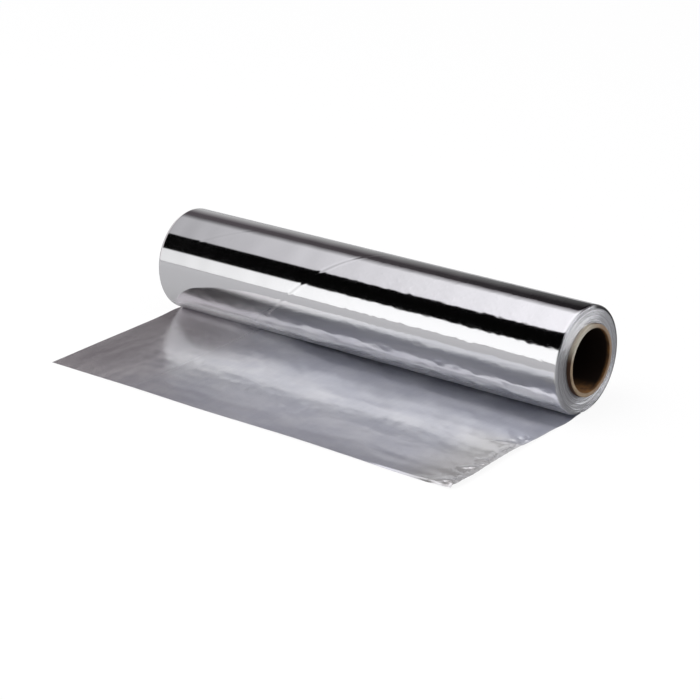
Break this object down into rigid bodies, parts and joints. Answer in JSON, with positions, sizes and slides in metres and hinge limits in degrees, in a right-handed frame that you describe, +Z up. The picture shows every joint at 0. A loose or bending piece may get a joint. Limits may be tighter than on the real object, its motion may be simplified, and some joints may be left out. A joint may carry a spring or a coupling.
{
  "type": "aluminium foil roll",
  "caption": "Roll of aluminium foil wound on a paperboard core, lying on its side with the free end of the web drawn out flat from under it.",
  "frame": {"origin": "on the surface that the roll rests on, under the roll's axis, halfway along it", "axes": "+X along the roll's axis, -Y the way that the free end is drawn out, +Z up"},
  "size_m": [0.31, 0.1622, 0.0642],
  "materials": {
    "foil": "bright on the outside of the web, satin on the inside",
    "core_board": "bare brown paperboard"
  },
  "bodies": {
    "root": {"foil": "foil", "core_tube": "core_board"}
  },
  "joints": []
}
